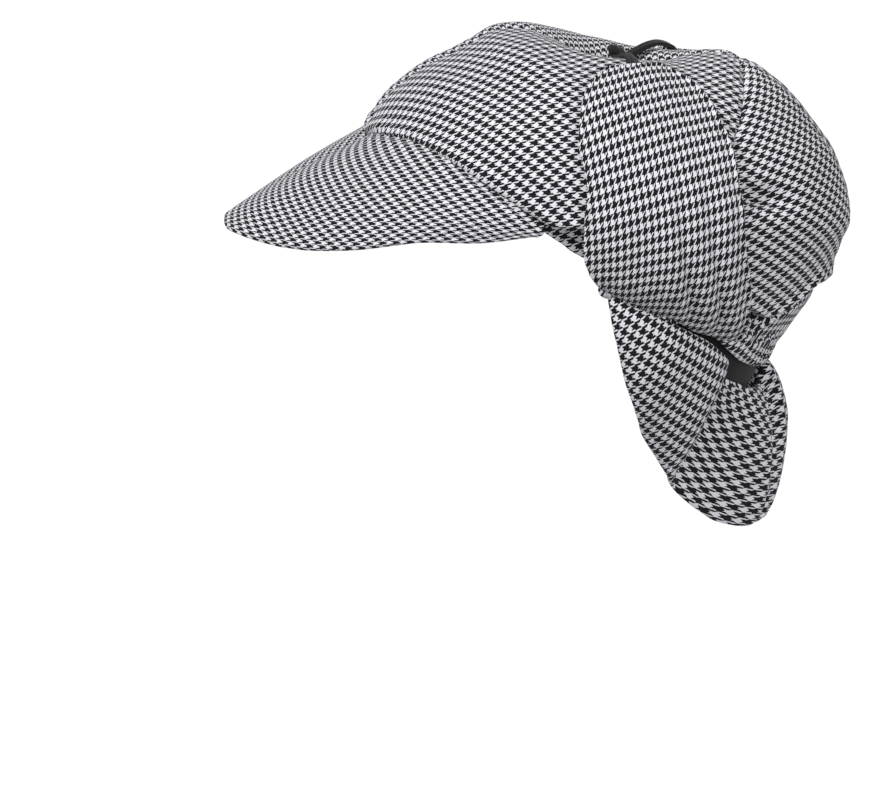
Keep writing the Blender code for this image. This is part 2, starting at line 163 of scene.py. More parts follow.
def on_crown(directions):
    """Points of the crown: an ellipsoid times the shares of CROWN_SECTIONS, blended round the axis
    by the square of the forward part, less the ribbon's groove and the dents."""
    flat = np.hypot(directions[..., 0], directions[..., 1])
    latitude = np.degrees(np.arctan2(directions[..., 2], flat))
    longitude = np.degrees(np.arctan2(directions[..., 1], directions[..., 0]))
    ahead = directions[..., 0] / np.maximum(flat, 1e-9)
    half_sizes = np.array([HALF_LENGTH, HALF_WIDTH, CROWN_HEIGHT])
    ellipsoid = 1 / np.linalg.norm(directions / half_sizes, axis=-1)
    front, side, rear = (
        smooth(np.maximum(latitude, 0), CROWN_SECTIONS, CROWN_COLUMNS.index(name))
        for name in ("front", "side", "rear")
    )
    ends = np.where(ahead > 0, rear, front) * ahead**2
    points = directions * (ellipsoid * (side * (1 - ahead**2) + ends))[..., None]
    across = np.clip(points[..., 1] / np.where(points[..., 1] < 0, *GROOVE_REACHES), -1, 1)
    behind = points[..., 0] - GROOVE_PLACE
    groove = ridge(behind, 0, np.where(behind < 0, *GROOVE_WIDTHS))
    depth = GROOVE_DEPTH * groove * (1 - across**2) ** 2 * (latitude > APEX_LATITUDE / 2)
    for east, north, wide, high, share in CROWN_DENTS:
        away = ((longitude - east) / wide) ** 2 + ((latitude - north) / high) ** 2
        depth = depth + DENT_DEPTH * share * np.exp(-away)
    return points - directions * depth[..., None]


def at_height(longitude, height):
    """Points of the crown at a longitude and a height, straight down below the opening's plane."""
    longitude, height = np.broadcast_arrays(np.asarray(longitude, float), height)
    reach = HALF_WIDTH
    for _ in range(6):
        point = on_crown(toward(longitude, np.degrees(np.arctan2(np.maximum(height, 0), reach))))
        reach = np.hypot(point[..., 0], point[..., 1])
    point[..., 2] = height
    return point


def round_height(longitude, name):
    """A column of ROUND_SECTIONS at a longitude from the back."""
    angle = 180 - np.abs((np.asarray(longitude, float) + 180) % 360 - 180)
    return smooth(angle, ROUND_SECTIONS, ROUND_COLUMNS.index(name))


def rim_height(longitude):
    """The height of the band's lower edge."""
    return RIM_ARCH * round_height(longitude, "rim")


def crease_height(longitude):
    """The height of the crown's lower edge, where it puffs over the band."""
    return rim_height(longitude) + GAP + BAND_HEIGHT * round_height(longitude, "band")


def outward(grid):
    """Unit normals of a grid of points, from the differences along its rows and columns."""
    return unit(np.cross(np.gradient(grid, axis=1), np.gradient(grid, axis=0)))


def spaced(low, high, count, closeness=EDGE_CLOSENESS):
    """Values from low to high that lie closer together towards both ends, along a sine."""
    share = np.linspace(0, 1, count)
    return low + (high - low) * (share - closeness * np.sin(2 * np.pi * share) / (2 * np.pi))


def resampled(values, position):
    """An array read between its rows, along cubic curves through them."""
    slope = np.gradient(values, axis=0)
    i = np.clip(position.astype(int), 0, len(values) - 2)
    t = (position - i).reshape(-1, *[1] * (values.ndim - 1))
    start = values[i] * (1 + 2 * t) * (1 - t) ** 2 + slope[i] * t * (1 - t) ** 2
    return start + values[i + 1] * t**2 * (3 - 2 * t) + slope[i + 1] * t**2 * (t - 1)


def flat_cut(points, rounds=900):
    """A panel's flat cut. It starts from the lengths along its rows and up its middle column, and
    then all sides and diagonals of its cells are drawn, bit by bit, to the lengths they have sewn."""
    columns = points.shape[1]
    ties = []
    for a, b in (
        (np.s_[:, :-1], np.s_[:, 1:]),
        (np.s_[:-1], np.s_[1:]),
        (np.s_[:-1, :-1], np.s_[1:, 1:]),
        (np.s_[:-1, 1:], np.s_[1:, :-1]),
    ):
        ties.append((a, b, np.linalg.norm(points[b] - points[a], axis=-1)))
    along = np.cumsum(np.pad(ties[0][2], ((0, 0), (1, 0))), axis=1)
    along = along - along[:, columns // 2, None]
    height = np.cumsum(np.pad(ties[1][2][:, columns // 2], (1, 0)))
    flat = np.stack([along, height[:, None] + 0 * along], -1)
    for _ in range(rounds):
        push = np.zeros_like(flat)
        for a, b, length in ties:
            reach = flat[b] - flat[a]
            pull = reach * (1 - length / np.linalg.norm(reach, axis=-1))[..., None] / 2
            push[a] += pull
            push[b] -= pull
        flat = flat + push / 4
    return flat


def crumple(cut, size, seed):
    """Soft noise from -1 to 1 over the flat cut: random values at the corners of squares, blended
    by smooth steps."""
    values = np.random.default_rng(seed).uniform(-1, 1, (NOISE_SQUARES, NOISE_SQUARES))
    corner = np.floor(cut / size).astype(int)
    t = cut / size - corner
    t = t * t * (3 - 2 * t)
    i, j = np.moveaxis(corner % NOISE_SQUARES, -1, 0)
    k, m = np.moveaxis((corner + 1) % NOISE_SQUARES, -1, 0)
    low = values[i, j] * (1 - t[..., 0]) + values[k, j] * t[..., 0]
    high = values[i, m] * (1 - t[..., 0]) + values[k, m] * t[..., 0]
    return low * (1 - t[..., 1]) + high * t[..., 1]


def uneven(cut, waves, seed):
    """The soft unevenness of worn cloth: crumples of a height and a size each, added up."""
    return sum(high * crumple(cut, size, seed + k) for k, (high, size) in enumerate(waves))


def edge_distances(grid):
    """How far each point lies from the left, right, lower and upper edges, along rows and columns."""
    across = np.linalg.norm(np.diff(grid, axis=1), axis=-1)
    up = np.linalg.norm(np.diff(grid, axis=0), axis=-1)
    left = np.cumsum(np.pad(across, ((0, 0), (1, 0))), axis=1)
    lower = np.cumsum(np.pad(up, ((1, 0), (0, 0))), axis=0)
    return left, left[:, -1:] - left, lower, lower[-1:] - lower


def rounded(distance, radius):
    """A quarter round: 1 at an edge, 0 from the radius inwards."""
    return 1 - np.sqrt(1 - np.clip(1 - distance / radius, 0, 1) ** 2)


def calmed(vectors, rounds=16):
    """Unit vectors of a grid, each drawn round by round towards its neighbours."""
    for _ in range(rounds):
        wide = np.pad(vectors, ((1, 1), (1, 1), (0, 0)), "edge")
        vectors = unit(wide[:-2, 1:-1] + wide[2:, 1:-1] + wide[1:-1, :-2] + wide[1:-1, 2:] + vectors)
    return vectors


def worn(grid):
    """Hat axes to world axes: a turn about y that lifts the front of the opening."""
    turn = math.radians(TILT)
    a, y, h = np.moveaxis(grid, -1, 0)
    return np.stack([a * math.cos(turn) + h * math.sin(turn), y,
                     h * math.cos(turn) - a * math.sin(turn)], -1)


def mesh_piece(name, points, faces, pattern, finish):
    """A mesh object of points and faces, with a pattern coordinate for each face's corner."""
    mesh = bpy.data.meshes.new(name)
    mesh.from_pydata(points.tolist(), [], faces)
    mesh.uv_layers.new(name="cloth").data.foreach_set("uv", pattern.astype(np.float32).ravel())
    mesh.shade_smooth()
    mesh.materials.append(finish)
    piece = bpy.data.objects.new(name, mesh)
    bpy.context.scene.collection.objects.link(piece)
    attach(piece, "root")
    return piece


def sewn_panel(name, shape, across, up, wall, roll, relief, finish, weaves, coarse=(25, 25),
               turned=(0, 1, 2, 3), ring=False):
    """A panel of cloth with turned edges.

    shape gives its outer face at values of across and up, and relief what stands out of it. The
    inner face lies a wall behind, and both come together in a half round at the turned edges
    (left, right, lower, upper). weaves give, from each value of across on and for each set of
    threads, the direction in the flat cut across which its colours repeat and the length of a
    repeat, as the sewn cloth is drawn out. Returns the piece and its flat size and area.
    """
    low_across, high_across = across[0], across[-1]
    low_up, high_up = up[0], up[-1]
    sparse = shape(
        np.linspace(low_across, high_across, coarse[1])[None],
        np.linspace(low_up, high_up, coarse[0])[:, None],
    )
    flat = flat_cut(sparse)
    cut = resampled(flat, (up - low_up) / (high_up - low_up) * (coarse[0] - 1))
    place = (across - low_across) / (high_across - low_across) * (coarse[1] - 1)
    cut = resampled(cut.transpose(1, 0, 2), place).transpose(1, 0, 2)

    face = shape(across[None], up[:, None])
    edges = edge_distances(face)
    face = face + outward(face) * relief(cut, edges)[..., None]
    normal = calmed(outward(face))
    if ring:
        normal[:, [0, -1]] = unit(normal[:, :1] + normal[:, -1:])
    edge = np.min([edges[side] for side in turned], axis=0)
    sink = wall / 2 * rounded(edge, roll)
    outer = worn(face - normal * sink[..., None])
    inner = worn(face - normal * (wall - sink)[..., None])

    rows, columns = edge.shape
    index = np.arange(rows * columns).reshape(rows, columns)
    corners = np.stack([index[:-1, :-1], index[:-1, 1:], index[1:, 1:], index[1:, :-1]], -1)
    corners = corners.reshape(-1, 4)
    front, back = index.copy(), index + rows * columns
    if ring:
        front[:, -1], back[:, -1] = front[:, 0], back[:, 0]
    back[[0, -1]] = front[[0, -1]]
    if not ring:
        back[:, [0, -1]] = front[:, [0, -1]]
    faces = np.concatenate([front.ravel()[corners], back.ravel()[corners][:, ::-1]])
    pattern = np.zeros((rows - 1, columns - 1, 4, 2))
    for start, *sets in weaves:
        repeats = []
        for angle, length in sets:
            turn = math.radians(angle)
            repeats.append((cut[..., 0] * math.cos(turn) + cut[..., 1] * math.sin(turn)) / length)
        repeats = np.stack(repeats, -1).reshape(-1, 2)[corners].reshape(pattern.shape)
        beyond = across[:-1] >= start
        pattern[:, beyond] = repeats[:, beyond]
    pattern = pattern.reshape(-1, 4, 2)
    pattern = np.concatenate([pattern, pattern[:, ::-1]])
    points = np.concatenate([outer.reshape(-1, 3), inner.reshape(-1, 3)])
    used, faces = np.unique(faces, return_inverse=True)
    faces = faces.reshape(-1, 4).tolist()
    piece = mesh_piece(name, points[used], faces, pattern, finish)

    sides = flat[1:, 1:] - flat[:-1, :-1], flat[1:, :-1] - flat[:-1, 1:]
    area = np.abs(sides[0][..., 0] * sides[1][..., 1] - sides[0][..., 1] * sides[1][..., 0])
    width, length = np.ptp(flat[..., 0]), np.ptp(flat[..., 1])
    return piece, (float(width), float(length)), float(area.sum() / 2)


class Field:
    """A socket of a material's tree: arithmetic on it adds Math nodes."""

    def __init__(self, tree, socket):
        self.tree, self.socket = tree, socket

    def node(self, kind, settings, inputs, output=0):
        """Adds a node: its settings first, then a value or a link for each of its sockets."""
        made = self.tree.nodes.new(kind)
        for name, value in settings.items():
            setattr(made, name, value)
        for name, value in inputs.items():
            if isinstance(value, Field):
                self.tree.links.new(value.socket, made.inputs[name])
            else:
                made.inputs[name].default_value = value
        return Field(self.tree, made.outputs[output])

    def maths(self, operation, *values):
        """A Math node of an operation on values or fields."""
        return self.node("ShaderNodeMath", {"operation": operation}, dict(enumerate(values)))

    def mixed(self, low, high):
        """A colour between two others, by this field as the factor."""
        inputs = {0: self, 6: low, 7: high}
        return self.node("ShaderNodeMix", {"data_type": "RGBA"}, inputs, output=2)

    def __add__(self, other):
        return self.maths("ADD", self, other)

    def __sub__(self, other):
        return self.maths("SUBTRACT", self, other)

    def __rsub__(self, other):
        return self.maths("SUBTRACT", other, self)

    def __mul__(self, other):
        return self.maths("MULTIPLY", self, other)

    def __mod__(self, other):
        return self.maths("FLOORED_MODULO", self, other)

    def __lt__(self, other):
        return self.maths("LESS_THAN", self, other)

    __radd__, __rmul__ = __add__, __mul__


MATT_SPECULAR = 0.12
SHEEN_ROUGHNESS = 0.5


def new_material(name, roughness, sheen):
    """A matt material: its shader, and a field on its tree for the pattern's coordinates."""
    made = bpy.data.materials.new(name)
    made.use_nodes = True
    shader = made.node_tree.nodes["Principled BSDF"]
    shader.inputs["Roughness"].default_value = roughness
    shader.inputs["Specular IOR Level"].default_value = MATT_SPECULAR
    shader.inputs["Sheen Weight"].default_value = sheen
    shader.inputs["Sheen Roughness"].default_value = SHEEN_ROUGHNESS
    field = Field(made.node_tree, None)
    return made, shader, field.node("ShaderNodeUVMap", {"uv_map": "cloth"}, {})


def finished(shader, colour, height, strength, distance):
    """Feeds a colour and a bump of a height field to a material's shader."""
    inputs = {"Strength": strength, "Distance": distance, "Height": height}
    bump = height.node("ShaderNodeBump", {}, inputs)
    height.tree.links.new(colour.socket, shader.inputs["Base Color"])
    height.tree.links.new(bump.socket, shader.inputs["Normal"])


THREADS = 8
DARK_THREADS = 4.2
DARK_SPREAD = 1.0
LIGHT_YARN = (0.80, 0.785, 0.845, 1.0)
DARK_YARN = (0.0100, 0.0098, 0.0115, 1.0)
TWILL_REPEAT = 8
CLOTH_ROUGHNESS = 0.92
CLOTH_SHEEN = 0.05
YARN_WOBBLE = 0.5
WOBBLE_NOISE = {"Scale": 0.35, "Detail": 1.0}
FIBRE_NOISE = {"Scale": 2.2, "Detail": 2.0}
# These three numbers scale the cloth's colour: a painted shade, darkest at each thread's edges where
# the threads meet and lighter along the middle of its round back, and a random tone of the fibres.
THREAD_EDGE_PAINTED_SHADE = 0.70
BACK_PAINTED_LIGHT = 0.30
FIBRE_TONE = 0.30
FIBRE_HEIGHT = 0.35
CLOTH_BUMP = (0.35, 0.0003)


def houndstooth(name):
    """Houndstooth: a two-and-two twill of four dark and four light threads each way. The thread
    on top gives the colour, and its round back the height and a painted shade: the colour is
    darker at each thread's edges, where the threads meet, and lighter along its middle. The
    twill's steps and its repeat are in half threads, and a dark thread spreads over a light one
    by DARK_SPREAD of them. Noise of the fibres adds a random tone and height."""
    made, shader, place = new_material(name, CLOTH_ROUGHNESS, CLOTH_SHEEN)
    threads = place.node("ShaderNodeVectorMath", {"operation": "SCALE"},
                         {0: place, "Scale": THREADS})
    wobble = place.node("ShaderNodeTexNoise", {}, {"Vector": threads, **WOBBLE_NOISE})
    warp = threads.node("ShaderNodeSeparateXYZ", {}, {0: threads}, output=0)
    weft = Field(warp.tree, warp.socket.node.outputs[1])
    warp, weft = warp + YARN_WOBBLE * wobble, weft - YARN_WOBBLE * wobble
    warp_dark = warp % THREADS < DARK_THREADS
    weft_dark = weft % THREADS < DARK_THREADS
    i, j = warp.maths("FLOOR", warp * 2), weft.maths("FLOOR", weft * 2)
    spread = DARK_SPREAD * (warp_dark - weft_dark)
    on_top = (i - j) % TWILL_REPEAT < TWILL_REPEAT / 2 + spread
    is_dark = weft_dark + on_top * (warp_dark - weft_dark)
    warp_back = warp.maths("PINGPONG", warp, 0.5)
    weft_back = weft.maths("PINGPONG", weft, 0.5)
    back = weft_back + on_top * (warp_back - weft_back)
    fibres = place.node("ShaderNodeTexNoise", {}, {"Vector": threads, **FIBRE_NOISE})
    colour = is_dark.mixed(LIGHT_YARN, DARK_YARN)
    # Painted shade between the threads, and the fibres' random tone.
    painted_shade_and_tone = THREAD_EDGE_PAINTED_SHADE + BACK_PAINTED_LIGHT * (2 * back) + FIBRE_TONE * fibres - FIBRE_TONE / 2
    colour = painted_shade_and_tone.node("ShaderNodeVectorMath", {"operation": "SCALE"}, {0: colour, "Scale": painted_shade_and_tone})
    finished(shader, colour, back + FIBRE_HEIGHT * fibres, *CLOTH_BUMP)
    return made


cloth = houndstooth("houndstooth_cloth")


def gore(first, last):
    """A gore between two seams: great circles from its lower edge up to the crown's apex."""

    def shape(across, up):
        longitude = first + (last - first) * across
        lower = unit(at_height(longitude, crease_height(longitude)))
        apex = toward(0.0, APEX_LATITUDE)
        angle = np.arccos(np.clip(lower @ apex, -1, 1))[..., None]
        along = GORE_TOP * up[..., None]
        directions = np.sin((1 - along) * angle) * lower + np.sin(along * angle) * apex
        return on_crown(directions / np.sin(angle))

    return shape


def gore_relief(seed, swell):
    """What stands out of a gore: seam valleys with puckers, a lower edge that swells over the
    band and curls in, and the soft unevenness of worn cloth."""

    def relief(cut, edges):
        left, right, lower, upper = edges
        seam = np.minimum(left, right)
        unrest = crumple(cut, UNREST_SIZE, seed)
        puckers = np.sin(2 * np.pi * (cut[..., 1] / PUCKER_SPACING + unrest))
        tucks = np.sin(2 * np.pi * (cut[..., 0] / TUCK_SPACING + unrest))
        gathers = np.exp(-seam / PUCKER_REACH) * puckers + np.exp(-lower / TUCK_REACH) * tucks
        soft = uneven(cut, GORE_SOFTNESS, seed + 1)
        fade = np.clip(np.minimum(seam, upper) / CALM_EDGE, 0, 1)
        valley = line(seam, SEAM_VALLEY)
        overhang = swell * ridge(lower, SWELL_PLACE, SWELL_WIDTH)
        curl = GORE_CURL * rounded(lower, CURL_WIDTH)
        return PUCKER * gathers + soft * fade - valley + overhang - curl

    return relief


FRONT_WEAVE = ((0, (-2, 0.00410), (96, 0.00480)),)
REAR_WEAVE = ((0, (-36, 0.00390), (76, 0.00530)),)
GORES = (
    ("front_gore_left", "crown_front_left", -180.0, -SIDE_SEAM, 145, 0.0014, FRONT_WEAVE),
    ("front_gore_right", "crown_front_right", SIDE_SEAM, 180.0, 145, 0.0014, FRONT_WEAVE),
    ("rear_gore_left", "crown_rear_left", -SIDE_SEAM, 0.0, 105, 0.0024, REAR_WEAVE),
    ("rear_gore_right", "crown_rear_right", 0.0, SIDE_SEAM, 105, 0.0024, REAR_WEAVE),
)
for seed, (name, node, first, last, columns, swell, weave) in enumerate(GORES):
    margin = GAP / 2 / HALF_LENGTH / math.radians(last - first)
    piece, flat, area = sewn_panel(
        name, gore(first, last), spaced(margin, 1 - margin, columns), spaced(0, 1, GORE_ROWS),
        CLOTH, GORE_ROLL, gore_relief(10 * seed, swell), cloth, weave)
    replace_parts(piece, node)

# The band below the gores, of the same cloth: one strip round the head, tucked up under the
# crown's edge. At the back its seam allowance is drawn up on elastic, in fine upright gathers.
PUFF_OVER = 0.0036
BAND_TUCK = 0.0060
GATHERED_BACK = 20.0
BAND_GATHER = 0.00045
GATHER_SPACING = 0.0016
GATHER_UNREST = ((0.4, 0.010),)
GATHERS_UP = 0.0120
BAND_BACK = 46.0
BAND_RECESS = (0.0085, 0.0004, 0.0044)
BAND_SWELL = (0.0042, 0, 0.0260)
BAND_CRUMPLE = 88.0
CRUMPLE_REACH = 12.0
BAND_SINK = 0.0050
BAND_FOLDS = 0.0016
FOLDS_REACH = 9.0
FOLD_SIZE = 0.0050
FOLD_DRAWN_OUT = (1.0, 0.5)
BAND_SOFTNESS = ((0.0004, 0.014),)
BAND_ROLL = 0.0024
BAND_SEED = 50
BAND_WEAVE = ((0, (-5, 0.0042), (85, 0.0050)),)


def set_in(grid, distance):
    """A grid moved straight towards the axis of the crown."""
    flat = grid * (1, 1, 0)
    return grid - unit(flat) * np.asarray(distance)[..., None]


def band_depth(longitude, height):
    """How far the band lies inside the crown's surface: drawn in below the crown's edge at the
    back and in front of the flaps, and full above the rear peak."""
    away = 180 - np.abs(longitude - 180)
    behind = ridge(away, 0, BAND_BACK, power=4)
    beside = ridge(away, BAND_CRUMPLE, CRUMPLE_REACH, power=4)
    recess = line(height - crease_height(longitude), BAND_RECESS)
    swell = line(np.maximum(height, 0), BAND_SWELL)
    return PUFF_OVER + behind * (recess - swell) + BAND_SINK * beside


def band_shape(across, up):
    """The band's outer face: from the rim to where it is tucked in, a little inside the crown."""
    longitude = 360 * across
    low = rim_height(longitude)
    height = low + (crease_height(longitude) + BAND_TUCK - low) * up
    return set_in(at_height(longitude, height), band_depth(longitude, height))


def band_relief(cut, edges):
    """Crumples, folds beside the flaps, and the gathers at the back as a fast sine that dies
    away upwards."""
    lower = edges[2]
    longitude = 360 * edges[0] / (edges[0] + edges[1])
    behind = 180 - np.abs(longitude - 180)
    share = ridge(behind, 0, GATHERED_BACK, power=4) * ridge(lower, 0, GATHERS_UP)
    unrest = uneven(cut, GATHER_UNREST, BAND_SEED)
    gathers = share * np.sin(2 * np.pi * (edges[0] / GATHER_SPACING + unrest))
    beside = ridge(behind, BAND_CRUMPLE, FOLDS_REACH)
    folds = beside * (crumple(cut * FOLD_DRAWN_OUT, FOLD_SIZE, BAND_SEED + 2) - 0.5)
    soft = uneven(cut, BAND_SOFTNESS, BAND_SEED + 1)
    return BAND_GATHER * gathers + soft + BAND_FOLDS * folds


piece, flat, area = sewn_panel(
    "band", band_shape, spaced(0, 1, 601, closeness=0.70), spaced(0, 1, 33), CLOTH, BAND_ROLL,
    band_relief, cloth, BAND_WEAVE, coarse=(9, 97), turned=(2, 3), ring=True)
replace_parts(piece, "headband")

# The sweatband inside the opening: black twill tape, sewn in at the rim. It hangs below the rim
# at the back, where it shows above the rear peak.
TAPE = 0.0012
SWEATBAND_HEIGHT = 0.0150
SWEATBAND_DROP = 0.0255
SWEATBAND_SOFTNESS = ((0.0003, 0.020),)
SWEATBAND_LOWEST = 0.0003
SWEATBAND_ROLL = 0.0010
SWEATBAND_SEED = 60
MILLIMETRES = ((0, (0, 0.001), (90, 0.001)),)
TAPE_SHEEN = 0.08
TAPE_FIBRES = {"Scale": 1.3, "Detail": 2.0}
# These three numbers scale the tape's colour: a painted shade, darker in the grooves between its ribs
# and lighter on their crests, and a random tone of the fibres.
TAPE_PAINTED_SHADE_AND_TONE = (0.55, 1.1, 0.5)
TAPE_BUMP = (0.4, 0.0003)


def black_twill(name, threads_a_millimetre, colour, roughness, across):
    """Black tape: fine slanting ribs of its twill, or straight ones across it, in bump and in a
    painted shade on its colour, darker between the ribs and lighter on them, with a random tone
    of the fibres.
    """
    made, shader, place = new_material(name, roughness, TAPE_SHEEN)
    threads = place.node("ShaderNodeVectorMath", {"operation": "SCALE"},
                         {0: place, "Scale": threads_a_millimetre})
    x = threads.node("ShaderNodeSeparateXYZ", {}, {0: threads}, output=0)
    y = Field(x.tree, x.socket.node.outputs[1])
    slant = y if across else x + y
    rib = slant.maths("PINGPONG", slant, 0.5)
    fibres = place.node("ShaderNodeTexNoise", {}, {"Vector": threads, **TAPE_FIBRES})
    lowest, of_rib, of_fibres = TAPE_PAINTED_SHADE_AND_TONE
    # Painted shade between the ribs, and the fibres' random tone.
    painted_shade_and_tone = lowest + of_rib * rib + of_fibres * fibres
    tint = painted_shade_and_tone.node("ShaderNodeVectorMath", {"operation": "SCALE"}, {0: colour, "Scale": painted_shade_and_tone})
    finished(shader, tint, rib + 0.3 * fibres, *TAPE_BUMP)
    return made


tape = black_twill("black_tape", threads_a_millimetre=1.4, colour=(0.0050, 0.0050, 0.0055),
                   roughness=0.8, across=False)


def sweatband_shape(across, up):
    """The tape's outer face: inside the band, from below the rim to above it."""
    longitude = 360 * across
    rim = rim_height(longitude)
    low = rim - SWEATBAND_DROP * round_height(longitude, "sweatband")
    height = low + (rim + SWEATBAND_HEIGHT - low) * up
    return set_in(at_height(longitude, height), band_depth(longitude, height) + CLOTH + 2 * GAP)


def sweatband_relief(cut, edges):
    """A little unevenness, as soft tape has."""
    return uneven(cut, SWEATBAND_SOFTNESS, SWEATBAND_SEED) - SWEATBAND_LOWEST


piece, flat, area = sewn_panel(
    "sweatband_tape", sweatband_shape, spaced(0, 1, 289, closeness=0.3), spaced(0, 1, 17), TAPE,
    SWEATBAND_ROLL, sweatband_relief, tape, MILLIMETRES, coarse=(9, 97),
    turned=(2, 3), ring=True)
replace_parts(piece, "sweatband")

# The front peak: two layers of the cloth over a stiff board, crowned across its middle, with a
# turned rim that rounds under.
PEAK_WALL = 0.0032
FRONT_LENGTH = 0.0739
FRONT_HALF_SPAN = 78.0
FRONT_CROWNING = 0.0042
FRONT_TUCK = -0.04
FRONT_FLANGE = 0.0036
FRONT_SEAT = 0.0004
FLANGE_SEAT = 0.0020
FRONT_SOFTNESS = ((0.00025, 0.030),)
FRONT_PRESSED = (0.00018, 0.0050, 0.0008)
FRONT_BOARD = (0.0007, 0.0068, 0.0020)
FRONT_ROLL = 0.0030
FRONT_SEED = 70
FRONT_PEAK_WEAVE = ((-1, (-41, 0.00310), (72, 0.00410)),)
FRONT_COLUMNS = ("share", "forward", "inward", "drop", "crowning")
FRONT_SECTIONS = (
    (0.00, 0.577, 0.000, 0.815, 0.45),
    (0.17, 0.557, 0.053, 0.930, 0.60),
    (0.36, 0.511, 0.092, 0.965, 0.85),
    (0.50, 0.526, 0.099, 0.915, 1.00),
    (0.68, 0.511, 0.071, 0.742, 0.95),
    (0.82, 0.398, 0.007, 0.478, 0.60),
    (0.93, 0.213, 0.000, 0.260, 0.25),
    (1.00, 0.030, 0.000, 0.030, 0.00),
)


def front_peak_shape(across, up):
    """The peak's upper face: from its seam out to the rim of FRONT_SECTIONS, raised by a sine."""
    share, side = np.abs(across), np.sign(across)
    forward, inward, drop, crowning = (
        smooth(share, FRONT_SECTIONS, FRONT_COLUMNS.index(name)) for name in FRONT_COLUMNS[1:]
    )
    longitude = 180 - side * share * FRONT_HALF_SPAN
    tucked = np.minimum(up, 0) / FRONT_TUCK
    seam = at_height(longitude, rim_height(longitude) - GAP + FRONT_FLANGE * tucked)
    seam = set_in(seam, FRONT_SEAT + FLANGE_SEAT * tucked)
    reach = FRONT_LENGTH * np.stack([-forward, -side * inward, -drop], -1)
    up = np.maximum(up, 0)
    raised = unit(np.stack([-drop, side * drop * share, forward], -1))
    lift = FRONT_CROWNING * crowning * np.sin(np.pi * up)
    return seam + reach * up[..., None] + raised * lift[..., None]


def front_peak_relief(cut, edges):
    """Slight waves of cloth over board, a shallow line where the rim's seam is pressed, and a
    raised one where the board starts."""
    edge = np.minimum(edges[3], np.minimum(edges[0], edges[1]))
    soft = uneven(cut, FRONT_SOFTNESS, FRONT_SEED)
    return soft - line(edge, FRONT_PRESSED) + line(edges[2], FRONT_BOARD)


piece, flat, area = sewn_panel(
    "front_peak_cover", front_peak_shape, spaced(-1, 1, 193), spaced(FRONT_TUCK, 1, 81), PEAK_WALL,
    FRONT_ROLL, front_peak_relief, cloth, FRONT_PEAK_WEAVE, coarse=(17, 49),
    turned=(0, 1, 3))
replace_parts(piece, "front_peak")

# The rear peak: the same two layers with no board, sewn of two halves at the centre back. It
# hangs from the band, is creased on the left, dented beside the middle, and curls in at its tip.
REAR_LENGTH = 0.0756
REAR_HALF_SPAN = 78.0
REAR_DRAWN_IN = 0.020
REAR_CROWNING = 0.0184
REAR_SEAT = 0.0008
REAR_SWELL = 0.0030
SWELL_SHARE = 0.45
BOW_POWER = 0.92
REAR_VALLEY = (0.0011, 0, 0.0022)
REAR_PUCKER = 0.0003
REAR_PUCKER_SPACING = 0.0070
REAR_PRESSED = (0.00030, 0.0055, 0.0009)
REAR_SOFTNESS = ((0.0005, 0.024), (0.00025, 0.010))
REAR_ROLL = 0.0028
REAR_SEED = 80
FLAP_WALL = 0.0024
FLAP_FOLD = 0.0006
REAR_COLUMNS = ("share", "back", "inward", "drop", "crowning", "edge")
REAR_SECTIONS = (
    (-1.00, 0.000, 0.000, 0.060, 0.00, 0.11),
    (-0.90, 0.030, 0.010, 0.280, 0.22, 0.12),
    (-0.75, 0.040, 0.050, 0.560, 0.42, 0.13),
    (-0.66, 0.020, 0.060, 0.680, 0.48, 0.16),
    (-0.55, -0.030, 0.070, 0.780, 0.46, 0.20),
    (-0.44, -0.015, 0.076, 0.842, 0.36, 0.33),
    (-0.375, 0.008, 0.080, 0.884, 0.14, 0.47),
    (-0.345, 0.040, 0.110, 0.902, -0.42, 0.87),
    (-0.26, 0.135, 0.110, 0.953, -0.30, 0.90),
    (-0.17, 0.225, 0.080, 0.984, 0.02, 0.90),
    (-0.09, 0.290, 0.040, 0.974, 0.36, 0.90),
    (-0.01, 0.345, 0.004, 0.950, 0.62, 0.88),
    (0.025, 0.358, 0.006, 0.942, 0.70, 0.86),
    (0.05, 0.368, 0.012, 0.935, 0.78, 0.54),
    (0.12, 0.370, 0.035, 0.930, 0.92, 0.50),
    (0.22, 0.336, 0.070, 0.918, 0.96, 0.50),
    (0.36, 0.210, 0.080, 0.870, 0.82, 0.44),
    (0.55, 0.060, 0.070, 0.780, 0.70, 0.20),
    (0.75, 0.040, 0.050, 0.560, 0.45, 0.13),
    (0.90, 0.030, 0.010, 0.280, 0.22, 0.12),
    (1.00, 0.000, 0.000, 0.060, 0.00, 0.11),
)
REAR_WEAVES = (
    (-1.00, (22, 0.0040), (102, 0.0057)),
    (-0.35, (-66, 0.0049), (58, 0.0056)),
    (0.00, (66, 0.0049), (-58, 0.0056)),
)


